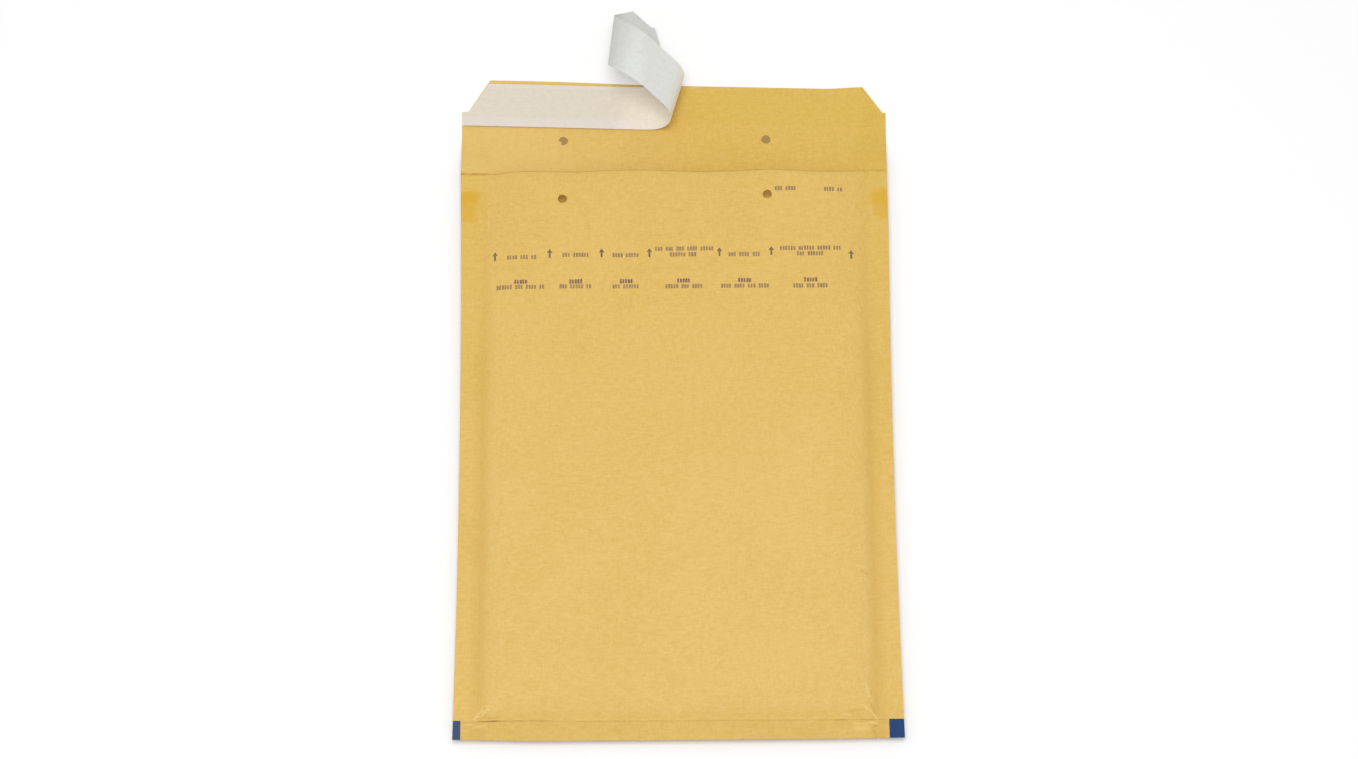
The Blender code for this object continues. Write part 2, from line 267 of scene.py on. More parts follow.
class Skin:
    """Collects faces between named points, and makes one object of them."""

    def __init__(self):
        self.places = []
        self.found = {}
        self.faces = []

    def point(self, key, place):
        if key not in self.found:
            self.found[key] = len(self.places)
            self.places.append(place)
        return self.found[key]

    def face(self, *corners):
        kept = [c for k, c in enumerate(corners) if c != corners[k - 1]]
        if len(kept) > 2:
            self.faces.append(kept)

    def finish(self, name, smooth_angle=40):
        mesh = bpy.data.meshes.new(name)
        mesh.from_pydata(self.places, [], self.faces)
        bm = bmesh.new()
        bm.from_mesh(mesh)
        bmesh.ops.recalc_face_normals(bm, faces=bm.faces)
        bm.to_mesh(mesh)
        bm.free()
        mesh.shade_smooth()
        mesh.set_sharp_from_angle(angle=math.radians(smooth_angle))
        made = bpy.data.objects.new(name, mesh)
        bpy.context.scene.collection.objects.link(made)
        return made


# The grid of the sheet: where its cells get smaller towards the seams, the bottom and the lip, and how small
FINE_SIDE = 0.066
FINE_BOTTOM = -0.105
FINE_TOP = 0.100
SEAM_CELL = 0.00132
CREASE_CELL = 0.0008
LIP_CELL = 0.0010
NEAR_LIP_CELL = 0.0018
WIDE_CELL = 0.0026
LONG_CELL = 0.0030
FLAP_SETTLE_ROWS = 14
FLAP_MIDDLE_ROWS = (0.33, 0.67, 1.0)
FLAP_TOP_ROWS = 10


def envelope_mesh():
    """The sheet as one closed skin: two layers in the flap, four over the pocket, two round its seams."""
    skin = Skin()
    edge, inside = HALF_WIDTH, HALF_INSIDE
    left = lines((-edge, NOTCH_LEFT - edge, SEAM_CELL), (NOTCH_LEFT - edge, -inside, SEAM_CELL))[:-1]
    right = lines((inside, edge - NOTCH_RIGHT, SEAM_CELL), (edge - NOTCH_RIGHT, edge, SEAM_CELL))
    middle = [(-inside, -FINE_SIDE, CREASE_CELL), (-FINE_SIDE, FINE_SIDE, WIDE_CELL)]
    xs = left + lines(*middle, (FINE_SIDE, inside, CREASE_CELL)) + right[1:]
    low = [(BOTTOM, POCKET_BOTTOM, SEAM_CELL), (POCKET_BOTTOM, FINE_BOTTOM, CREASE_CELL)]
    ys = lines(*low, (FINE_BOTTOM, FINE_TOP, LONG_CELL))[:-1]
    ys += lines((FINE_TOP, MOUTH - LIP_DIP_RUN, NEAR_LIP_CELL), (MOUTH - LIP_DIP_RUN, MOUTH, LIP_CELL))
    notch_left, notch_right = xs.index(NOTCH_LEFT - edge), xs.index(edge - NOTCH_RIGHT)
    seam_left, seam_right = xs.index(-inside), xs.index(inside)
    pocket_row = ys.index(POCKET_BOTTOM)
    mouth = len(ys) - 1
    flap = [(share, 0.0, 0.0) for share in np.linspace(0, 1, FLAP_SETTLE_ROWS + 1)[1:]]
    flap += [(1.0, share, 0.0) for share in FLAP_MIDDLE_ROWS]
    flap += [(1.0, 1.0, k / FLAP_TOP_ROWS) for k in range(1, FLAP_TOP_ROWS + 1)]
    notch_row = mouth + 1 + flap.index((1.0, 1.0, 0.0))
    last_row = mouth + len(flap)

    def place(i, j):
        x = xs[i]
        if j <= mouth:
            return x, ys[j]
        to_settled, to_notch, to_top = flap[j - mouth - 1]
        across = (x + HALF_WIDTH) / BODY_WIDTH
        notch_rise = mix(NOTCH_RISE_LEFT, NOTCH_RISE_RIGHT, across)
        top_rise = mix(FLAP_LEFT, FLAP_RIGHT, across)
        y = MOUTH + FLAP_SETTLE_RUN * to_settled
        y += (notch_rise - FLAP_SETTLE_RUN) * to_notch + (top_rise - notch_rise) * to_top
        y += FLAP_CORNER_RISE * to_top * eased((x - HALF_WIDTH) / FLAP_CORNER_RUN + 1)
        y += FLAP_LEFT_RISE * to_top * eased(-x / FLAP_LEFT_RISE_RUN)
        if x < 0:
            return x + CHAMFER_LEFT * to_top * x / (NOTCH_LEFT - HALF_WIDTH), y
        return x - CHAMFER_RIGHT * to_top * x / (HALF_WIDTH - NOTCH_RIGHT), y

    heights = {
        "back outside": underside,
        "back inside": back_inside,
        "front inside": front_inside,
        "front outside": lambda x, y: front_inside(x, y) + PAPER,
    }

    def point(layer, i, j):
        if layer == "front inside" and (i <= seam_left or i >= seam_right or j <= pocket_row):
            layer = "back inside"
        key = (layer, i, j)
        if key in skin.found:
            return skin.found[key]
        x, y = place(i, j)
        lower = cut_drop(x, y) if layer.startswith("front") else 0.0
        return skin.point(key, (*drawn_in(x, y - lower), heights[layer](x, y)))

    def layer_face(layer, i, j):
        skin.face(*[point(layer, *corner) for corner in cell_corners(i, j)])

    def wall(start, end, low, high):
        skin.face(point(low, *start), point(low, *end), point(high, *end), point(high, *start))

    for j in range(last_row):
        on_flap = j >= mouth
        first = notch_left if j >= notch_row else 0
        last = notch_right if j >= notch_row else len(xs) - 1
        high = "back inside" if on_flap else "front outside"
        for i in range(first, last):
            over_pocket = seam_left <= i < seam_right and pocket_row <= j < mouth
            layer_face("back outside", i, j)
            if on_flap or over_pocket:
                layer_face("back inside", i, j)
            if over_pocket:
                layer_face("front inside", i, j)
            if not on_flap:
                layer_face("front outside", i, j)
        for i in (first, last):
            if j + 1 == mouth:
                ends = [point("back outside", i, mouth), point("back inside", i, mouth)]
                ends.append(point("front outside", i, mouth))
                skin.face(point("back outside", i, j), *ends, point("front outside", i, j))
            else:
                wall((i, j), (i, j + 1), "back outside", high)
    for i in range(len(xs) - 1):
        wall((i, 0), (i + 1, 0), "back outside", "front outside")
        if seam_left <= i < seam_right:
            wall((i, mouth), (i + 1, mouth), "front inside", "front outside")
        else:
            wall((i, mouth), (i + 1, mouth), "back inside", "front outside")
        top = last_row if notch_left <= i < notch_right else notch_row
        wall((i, top), (i + 1, top), "back outside", "back inside")
    return skin.finish("kraft_envelope_paper")


def hole_places():
    """The punched holes: x, y, whether it is in the flap, and the angle of the torn crumb left on its rim."""
    left = HOLE_SHIFT - HOLE_SPACING / 2
    right = HOLE_SHIFT + HOLE_SPACING / 2
    return [
        (left, MOUTH + FLAP_HOLE_RISE, True, CRUMB_ANGLE),
        (right, MOUTH + FLAP_HOLE_RISE, True, None),
        (left, MOUTH - FRONT_HOLE_DROP_LEFT, False, None),
        (right, MOUTH - FRONT_HOLE_DROP_RIGHT, False, None),
    ]


def punch(piece, in_flap_too):
    """Cuts the front holes, and the flap's too where asked, with round punches, and applies the cuts."""
    for x, y, in_flap, crumb in hole_places():
        if in_flap and not in_flap_too:
            continue
        low, high = FLAP_PUNCH if in_flap else FRONT_PUNCH
        bm = bmesh.new()
        rim = []
        for k in range(HOLE_SIDES):
            angle = 2 * math.pi * k / HOLE_SIDES
            wave = RIM_WAVE_DEPTH * math.sin(RIM_WAVES * angle + x * RIM_WAVE_SHIFT)
            radius = HOLE_DIAMETER / 2 * (1 + wave)
            if crumb is not None:
                radius *= 1 - CRUMB_DEPTH * bump(math.degrees(angle) - crumb, CRUMB_SPREAD)
            rim.append(bm.verts.new((x + radius * math.cos(angle), y + radius * math.sin(angle), 0)))
        face = bm.faces.new(rim)
        made = bmesh.ops.extrude_face_region(bm, geom=[face])
        bmesh.ops.translate(bm, verts=rim, vec=(0, 0, low))
        top = [v for v in made["geom"] if isinstance(v, bmesh.types.BMVert)]
        bmesh.ops.translate(bm, verts=top, vec=(0, 0, high))
        bmesh.ops.recalc_face_normals(bm, faces=bm.faces)
        mesh = bpy.data.meshes.new("punch")
        bm.to_mesh(mesh)
        bm.free()
        cutter = bpy.data.objects.new("punch", mesh)
        bpy.context.scene.collection.objects.link(cutter)
        cut = piece.modifiers.new("hole", "BOOLEAN")
        cut.object = cutter
        cut.solver = "EXACT"
        evaluated = piece.evaluated_get(bpy.context.evaluated_depsgraph_get())
        cut_mesh = bpy.data.meshes.new_from_object(evaluated)
        piece.modifiers.remove(cut)
        piece.data = cut_mesh
        bpy.data.objects.remove(cutter)
    piece.data.name = piece.name


class Value:
    """A number, colour or vector that nodes work out. Sums on numbers add Math nodes."""

    def __init__(self, nodes, socket):
        self.nodes = nodes
        self.socket = socket

    def maths(self, operation, *values):
        sockets = dict(enumerate(values))
        return self.nodes.add("ShaderNodeMath", {"operation": operation}, sockets)

    def __add__(self, other):
        return self.maths("ADD", self, other)

    def __sub__(self, other):
        return self.maths("SUBTRACT", self, other)

    def __rsub__(self, other):
        return self.maths("SUBTRACT", other, self)

    def __mul__(self, other):
        return self.maths("MULTIPLY", self, other)

    def __truediv__(self, other):
        return self.maths("DIVIDE", self, other)

    def __rtruediv__(self, other):
        return self.maths("DIVIDE", other, self)

    def __mod__(self, other):
        return self.maths("FLOORED_MODULO", self, other)

    def __rmod__(self, other):
        return self.maths("FLOORED_MODULO", other, self)

    def __pow__(self, other):
        return self.maths("POWER", self, other)

    def __rpow__(self, other):
        return self.maths("POWER", other, self)

    def floor(self):
        return self.maths("FLOOR", self)

    def at_least(self, other):
        return self.maths("MAXIMUM", self, other)

    def __lt__(self, other):
        return self.maths("LESS_THAN", self, other)

    def __gt__(self, other):
        return self.maths("GREATER_THAN", self, other)

    def __abs__(self):
        return self.maths("ABSOLUTE", self)

    __radd__ = __add__
    __rmul__ = __mul__


def linear(red, green, blue):
    """A colour as the eye's 0 to 255 values, turned to the light values that a shader takes."""
    parts = [c / 255 for c in (red, green, blue)]
    return (*[c / 12.92 if c <= 0.04045 else ((c + 0.055) / 1.055) ** 2.4 for c in parts], 1.0)


class Nodes:
    """A node tree. add() makes any node and gives back what it works out."""

    def __init__(self, tree):
        self.tree = tree

    def add(self, kind, settings=None, sockets=None, output=0):
        """Sets the node's settings first, then its sockets. A tuple of outputs gives a list of values."""
        node = self.tree.nodes.new(kind)
        for setting, value in (settings or {}).items():
            if setting == "captured":
                node.capture_items.new(*value)
            else:
                setattr(node, setting, value)
        for socket, value in (sockets or {}).items():
            self.plug(node.inputs[socket], value)
        if isinstance(output, tuple):
            return [Value(self, node.outputs[name]) for name in output]
        return Value(self, node.outputs[output])

    def plug(self, socket, value):
        """Links a socket to a value, or to each value of a list, or sets it."""
        if isinstance(value, list):
            for part in reversed(value):
                self.plug(socket, part)
        elif isinstance(value, Value):
            self.tree.links.new(value.socket, socket)
        else:
            socket.default_value = value

    def parts(self, vector):
        return self.add("ShaderNodeSeparateXYZ", sockets={0: vector}, output=(0, 1, 2))


class Look(Nodes):
    """A material: its nodes and its one shader, with the sockets that are the same all over."""

    def __init__(self, name, **constants):
        self.material = bpy.data.materials.new(name)
        self.material.use_nodes = True
        super().__init__(self.material.node_tree)
        self.shader = self.tree.nodes["Principled BSDF"]
        for socket, value in constants.items():
            self.shader.inputs[socket.replace("_", " ")].default_value = value

    def place(self):
        return self.add("ShaderNodeTexCoord", output="Object")

    def fade(self, value, start, end, low=0.0, high=1.0):
        """low before start and high past end, eased between them."""
        sockets = {"Value": value, "From Min": start, "From Max": end, "To Min": low, "To Max": high}
        return self.add("ShaderNodeMapRange", {"interpolation_type": "SMOOTHSTEP"}, sockets)

    def grain(self, place, scale, detail=2.0, roughness=0.5, stretch=None, turn=0.0):
        """Noise from 0 to 1, stretched and turned where the paper's fibres need it."""
        if stretch is not None:
            sockets = {"Vector": place, "Rotation": (0.0, 0.0, math.radians(turn)), "Scale": stretch}
            place = self.add("ShaderNodeMapping", {"vector_type": "TEXTURE"}, sockets)
        return self.add(
            "ShaderNodeTexNoise",
            sockets={"Vector": place, "Scale": scale, "Detail": detail, "Roughness": roughness},
        )

    def stroke(self, x, y, start, end, half_width):
        """1 along a straight stroke from start to end, fading to its sides and its ends."""
        length = math.dist(start, end)
        way_x, way_y = [(last - first) / length for first, last in zip(start, end)]
        from_x, from_y = x - start[0], y - start[1]
        past_middle = abs(from_x * way_x + from_y * way_y - length / 2)
        beside = abs(from_y * way_x - from_x * way_y)
        return self.fade(beside, half_width, 0.0) * self.fade(past_middle, length / 2, length * 0.25)

    def blend(self, share, first, second):
        """A colour from first at 0 to second at 1. Inputs 6 and 7 and output 2 are the node's colours."""
        sockets = {"Factor": share, 6: first, 7: second}
        return self.add("ShaderNodeMix", {"data_type": "RGBA"}, sockets, output=2)

    def relief(self, height, distance, normal=None):
        sockets = {"Height": height, "Distance": distance, "Strength": 1.0}
        if normal is not None:
            sockets["Normal"] = normal
        return self.add("ShaderNodeBump", sockets=sockets)

    def show(self, **values):
        for socket, value in values.items():
            self.plug(self.shader.inputs[socket.replace("_", " ")], value)
        return self.material


# How many clouds, flocks and fibres of pulp, and specks in it, there are to a metre
CLOUDS = 26
WARM_CLOUDS = 60
FLOCKS = 330
FIBRES = 1700
CROSS_FIBRES = 1750
SPECKS = 1500
# Each pair of colours holds the ends of the pulp's tone
PULP = (linear(221, 183, 97), linear(233, 198, 122))
# Pressed seams and bottom band, the darker flap, and painted shade towards the flap
PRESSED_AND_SHADED_PULP = (linear(215, 177, 76), linear(227, 189, 100))
BAND_PULP = (linear(209, 171, 84), linear(223, 185, 108))
WARM_PULP = linear(231, 190, 116)
# Painted light for the left of the flap
PAINTED_LIGHT_PULP = linear(232, 199, 122)
SPECK_BROWN = linear(176, 132, 66)
# Painted shade along the inner edge of the seams
SEAM_SHADE_BROWN = linear(206, 166, 80)
STAIN_YELLOW = linear(217, 170, 40)
# Painted highlight and wear on the crease ridges
LIT_WORN_PALE = linear(247, 215, 138)
# Painted shade in the crease valleys and along the front panel's cut edge
CREASE_SHADE_BROWN = linear(176, 128, 52)
# The warm colour of the painted glow inside the pocket
PAINTED_GLOW_COLOUR = linear(168, 122, 24)
# The printed corner marks; the left one is the paler one
MARK_LEFT_HEIGHT = 0.0098
MARK_RIGHT_HEIGHT = 0.0092
MARK_LEFT_WIDTH = 0.0028
MARK_RIGHT_WIDTH = 0.0060
MARK_BLUE = (linear(8, 48, 100), linear(34, 72, 122))
MARK_GREY = linear(104, 108, 116)
MARK_LEFT_GREY = 0.28
# Glue that has soaked through the side seams: middle x and y, half width and height, strength
STAIN_SOFT_X = 0.0016
STAIN_SOFT_Y = 0.0020
STAIN_WANDER = 0.003
STAIN_WANDERS = 240
STAINS = (
    (-0.0966, 0.1245, 0.0046, 0.0034, 0.80),
    (-0.0972, 0.1170, 0.0040, 0.0042, 0.55),
    (0.0968, 0.1238, 0.0046, 0.0034, 0.70),
    (0.0975, 0.1170, 0.0036, 0.0040, 0.45),
)
# Crease ridges painted paler, as painted highlight on their lit facets and as worn fibres, and crease valleys
# painted darker as painted shade: start, end, half width, strength
LIT_WORN_RIDGES = (
    ((-0.0920, -0.1282), (-0.0868, -0.1220), 0.0009, 0.9),
    ((-0.0876, -0.1216), (-0.0832, -0.1214), 0.0007, 0.8),
    ((-0.0905, -0.1264), (-0.0860, -0.1254), 0.0005, 0.8),
    ((-0.0888, -0.1250), (-0.0835, -0.1228), 0.0016, 0.6),
    ((-0.0955, -0.1292), (-0.0872, -0.1306), 0.0006, 0.8),
    ((-0.0930, -0.1312), (-0.0850, -0.1300), 0.0008, 0.6),
    ((0.0828, -0.1226), (0.0870, -0.1258), 0.0007, 1.0),
    ((0.0862, -0.1252), (0.0895, -0.1294), 0.0007, 1.0),
    ((0.0848, -0.1296), (0.0898, -0.1308), 0.0010, 0.9),
    ((0.0722, -0.1261), (0.0780, -0.1268), 0.0006, 0.8),
    ((0.0760, -0.1300), (0.0860, -0.1306), 0.0007, 0.6),
    ((0.0770, -0.1320), (0.0865, -0.1330), 0.0022, 0.5),
    ((0.0836, -0.1110), (0.0856, -0.1200), 0.0014, 0.5),
    ((0.0800, -0.0570), (0.0856, -0.0590), 0.0012, 0.5),
)
SHADED_VALLEYS = (
    ((-0.0912, -0.1284), (-0.0790, -0.1279), 0.0005, 1.0),
    ((-0.0895, -0.1281), (-0.0520, -0.1280), 0.0006, 0.7),
    ((-0.0980, -0.1284), (-0.0905, -0.1284), 0.0004, 0.5),
    ((-0.0860, -0.1270), (-0.0790, -0.1266), 0.0009, 0.35),
    ((-0.0800, -0.1283), (0.0900, -0.1287), 0.0005, 0.45),
    ((0.0640, -0.1286), (0.0965, -0.1286), 0.0005, 0.6),
    ((0.0852, -0.1205), (0.0884, -0.1270), 0.0008, 0.5),
    ((0.0740, -0.1252), (0.0845, -0.1240), 0.0008, 0.35),
    ((0.0864, -0.1320), (0.0893, -0.1308), 0.0005, 0.8),
    ((0.0866, -0.1325), (0.0884, -0.1375), 0.0010, 0.5),
    ((0.0826, -0.0596), (0.0866, -0.0622), 0.0010, 0.5),
)


def pulp(look, place):
    """Flocks, the fibres that lie along and across the sheet, and the tone from 0 to 1 that they make."""
    clouds = look.grain(place, CLOUDS, detail=3.0)
    flocks = look.grain(place, FLOCKS, detail=3.0, roughness=0.6)
    along = look.grain(place, FIBRES, detail=3.0, roughness=0.65, stretch=(6.0, 1.0, 1.0), turn=2)
    across = look.grain(place, CROSS_FIBRES, detail=3.0, roughness=0.65, stretch=(1.0, 5.0, 1.0), turn=3)
    tone = clouds * 0.10 + flocks * 0.16 + along * 0.40 + across * 0.34
    return flocks, along + across, look.fade(tone, 0.36, 0.64)


def plain_sheet(look, place, tone):
    """The colour of the sheet where nothing has pressed or marked it."""
    colour = look.blend(tone, *PULP)
    warmth = look.grain(place, WARM_CLOUDS, detail=2.0)
    colour = look.blend(look.fade(warmth, 0.4, 0.7) * 0.18, colour, WARM_PULP)
    specks = look.grain(place, SPECKS, detail=1.0)
    return look.blend(look.fade(specks, 0.70, 0.78) * 0.30, colour, SPECK_BROWN)


def pressed_sheet(look, x, y, tone, on_flap, colour):
    """The seams and the bottom band are pressed denser, most of all where the padding begins, and the bottom
    band is darker still; the flap is darker, most of all to its right. Painted shade darkens the front
    towards the flap and along the inner edge of each seam, and painted light makes the flap paler to its
    left.
    """
    beside = look.fade(abs(x), HALF_INSIDE + 0.0025, HALF_INSIDE - 0.006)
    above = look.fade(y, POCKET_BOTTOM - 0.001, POCKET_BOTTOM + 0.006)
    # Painted shade darkens the front towards the flap
    painted_shade_towards_flap = look.fade(y, -0.08, MOUTH, 0.0, 0.42) * (1 - on_flap)
    over_flap = on_flap * look.fade(x, -HALF_WIDTH, 0.03, 0.04, 0.80)
    pressed_and_shaded = (1 - beside * above) * 0.26 + over_flap + painted_shade_towards_flap
    colour = look.blend(pressed_and_shaded, colour, look.blend(tone, *PRESSED_AND_SHADED_PULP))
    # Painted light makes the flap paler to its left, where it slopes away from the lamp
    colour = look.blend(on_flap * look.fade(x, 0.0, -HALF_WIDTH) * 0.35, colour, PAINTED_LIGHT_PULP)
    in_band = look.fade(y, POCKET_BOTTOM - 0.0002, POCKET_BOTTOM - 0.0016)
    colour = look.blend(in_band * 0.45, colour, look.blend(tone, *BAND_PULP))
    # Painted shade along the inner edge of each seam, where the padding rises, fading out towards the mouth
    painted_seam_shade = look.fade(abs(abs(x) - HALF_INSIDE + 0.0006), 0.0056, 0.0010) * look.fade(y, 0.100, 0.030)
    return look.blend(painted_seam_shade * 0.27, colour, SEAM_SHADE_BROWN)


def stained_sheet(look, place, x, y, colour):
    for middle_x, middle_y, half_x, half_y, strength in STAINS:
        wander = look.grain(place, STAIN_WANDERS, detail=2.0) * STAIN_WANDER - STAIN_WANDER / 2
        over_x = look.fade(abs(x - middle_x) + wander, half_x + STAIN_SOFT_X, half_x - STAIN_SOFT_X)
        over_y = look.fade(abs(y - middle_y) + wander, half_y + STAIN_SOFT_Y, half_y - STAIN_SOFT_Y)
        colour = look.blend(over_x * over_y * strength, colour, STAIN_YELLOW)
    return colour


def strokes(look, x, y, found, rows):
    for start, end, half_width, strength in rows:
        found = found + look.stroke(x, y, start, end, half_width) * strength
    return found


def corner_marks(look, x, y, flocks):
    """Where the two printed corner marks are, and the colour of their ink."""
    on_left = (y < BOTTOM + MARK_LEFT_HEIGHT) * (x < MARK_LEFT_WIDTH - HALF_WIDTH)
    on_right = (y < BOTTOM + MARK_RIGHT_HEIGHT) * (x > HALF_WIDTH - MARK_RIGHT_WIDTH)
    ink = look.blend((x < 0.0) * MARK_LEFT_GREY, look.blend(flocks, *MARK_BLUE), MARK_GREY)
    return on_left + on_right, ink


def kraft_paper(name, painted_glow=0.0):
    """Golden kraft paper; painted_glow is how strongly the sheet glows, a painted glow that stands in for
    daylight through it from behind.
    """
    constants = {"Specular_IOR_Level": 0.25, "Sheen_Weight": 0.08}
    look = Look(name, **constants, Emission_Color=PAINTED_GLOW_COLOUR, Emission_Strength=painted_glow)
    place = look.place()
    x, y, _ = look.parts(place)
    flocks, fibres, tone = pulp(look, place)
    # The cut edge of the front panel, where the flap comes to show beyond it
    from_cut = y + LIP_CUT_DROP - MOUTH
    for middle, half_width, drop in LIP_CUT_WAVES:
        from_cut = from_cut + look.fade(abs(x - middle), half_width, 0.0) * drop
    on_flap = look.fade(from_cut, -0.001, 0.001)
    colour = pressed_sheet(look, x, y, tone, on_flap, plain_sheet(look, place, tone))
    colour = stained_sheet(look, place, x, y, colour)
    # Painted highlight and wear on the crease ridges, painted shade in the crease valleys, and a painted
    # shadow line along the cut edge of the front panel, fainter at its right end
    ridges = strokes(look, x, y, 0.0, LIT_WORN_RIDGES)
    valleys = look.fade(abs(from_cut - 0.0003), 0.0009, 0.0002) * look.fade(x, 0.092, 0.080, 0.45, 1.15)
    valleys = strokes(look, x, y, valleys, SHADED_VALLEYS)
    broken = look.fade(flocks, 0.25, 0.6, 0.35, 1.0)
    ridges, valleys = ridges * broken, valleys * broken
    colour = look.blend(ridges * 0.80, colour, LIT_WORN_PALE)
    colour = look.blend(valleys * 0.65, colour, CREASE_SHADE_BROWN)
    marks, ink = corner_marks(look, x, y, flocks)
    colour = look.blend(marks, colour, ink)
    relief = look.relief(fibres, 0.00003)
    relief = look.relief(flocks, 0.00005, relief)
    relief = look.relief(ridges - valleys, 0.00020, relief)
    shine = look.fade(flocks, 0.3, 0.7, 0.78, 0.88) - marks * 0.2
    return look.show(Base_Color=colour, Roughness=shine, Normal=relief)


# A painted glow on the inside of the pocket, up to a little below the mouth, stands in for daylight through
# the sheet
POCKET_LIGHT = 0.31
POCKET_LIGHT_SETBACK = 0.004
paper = envelope_mesh()
punch(paper, in_flap_too=True)
paper.data.materials.clear()
paper.data.materials.append(kraft_paper("golden_kraft_paper"))
paper.data.materials.append(kraft_paper("golden_kraft_paper_inside", painted_glow=POCKET_LIGHT))
for face in paper.data.polygons:
    x, y, z = face.center
    if abs(x) < HALF_INSIDE and POCKET_BOTTOM < y < MOUTH - POCKET_LIGHT_SETBACK:
        faces_pocket = (z - INNER_HEIGHT / 2) * face.normal.z < 0
        face.material_index = 1 if faces_pocket else 0
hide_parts("kraft_envelope")
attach(paper, "root")


# Bubble lining
# A folded pocket of clear polyethylene film, welded along its sides, with rows of air bubbles standing on its
# inner faces. It lies loose in the paper and ends a little below the mouth.
CLEARANCE = 0.00025
LINING_INSET = 0.0020
LINING_SETBACK = 0.0050
FILM = 0.00012
WELD_WIDTH = 0.0050
SEALED_EDGE = 0.0010
POUCH_CELL = 0.003
BUBBLE_DIAMETER = 0.0092
BUBBLE_HEIGHT = 0.0017
BUBBLE_PITCH = 0.0104
BUBBLE_SIDES = 16
BUBBLE_RINGS = 8
# Below 1, the side of a bubble stands steeper and its top is flatter than a ball's
BUBBLE_ROUNDNESS = 0.6
# Where the pouch is less than twice this high, it has no bubbles
BUBBLE_CLEAR_HEIGHT = 0.0031
SMALLEST_BUBBLE = 0.94
BUBBLE_SEED = 4


def pouch_mesh():
    """The film itself: two thin walls that close on each other at the sides and the bottom."""
    skin = Skin()
    side = HALF_INSIDE - LINING_INSET
    weld, top = side - WELD_WIDTH, MOUTH - LINING_SETBACK
    xs = lines((-side, -weld, SEALED_EDGE), (-weld, weld, POUCH_CELL), (weld, side, SEALED_EDGE))
    low_end = POCKET_BOTTOM + LINING_INSET
    ys = lines((low_end, low_end + WELD_WIDTH, SEALED_EDGE), (low_end + WELD_WIDTH, top, POUCH_CELL))
    last_column, last_row = len(xs) - 1, len(ys) - 1

    def height(layer, x, y):
        low = back_inside(x, y) + CLEARANCE
        high = front_inside(x, y) - CLEARANCE
        middle = (low + high) / 2
        from_weld = min(side - abs(x), y - low_end) - SEALED_EDGE
        opened = eased(from_weld / WELD_WIDTH)
        if layer == "back outer":
            return mix(middle - FILM, low, opened)
        if layer == "back inner":
            return mix(middle, low + FILM, opened)
        if layer == "front inner":
            return mix(middle, high - FILM, opened)
        return mix(middle + FILM, high, opened)

    def point(layer, i, j):
        if layer == "front inner" and (i in (1, last_column - 1) or j == 1):
            layer = "back inner"
        key = (layer, i, j)
        return skin.found.get(key) or skin.point(key, (xs[i], ys[j], height(layer, xs[i], ys[j])))

    def wall(start, end, low, high):
        skin.face(point(low, *start), point(low, *end), point(high, *end), point(high, *start))

    for i in range(last_column):
        hollow = 0 < i < last_column - 1
        for j in range(last_row):
            layers = ("back outer", "back inner", "front inner", "front outer")
            for layer in layers if hollow and j > 0 else ("back outer", "front outer"):
                skin.face(*[point(layer, *corner) for corner in cell_corners(i, j)])
        wall((i, 0), (i + 1, 0), "back outer", "front outer")
        if hollow:
            wall((i, last_row), (i + 1, last_row), "back outer", "back inner")
            wall((i, last_row), (i + 1, last_row), "front inner", "front outer")
    for outer, inner in ((0, 1), (last_column, last_column - 1)):
        corners = [("back outer", outer), ("back outer", inner), ("back inner", inner)]
        corners += [("front outer", inner), ("front outer", outer)]
        skin.face(*[point(layer, i, last_row) for layer, i in corners])
        for j in range(last_row):
            wall((outer, j), (outer, j + 1), "back outer", "front outer")
    return skin.finish("bubble_film_lining")


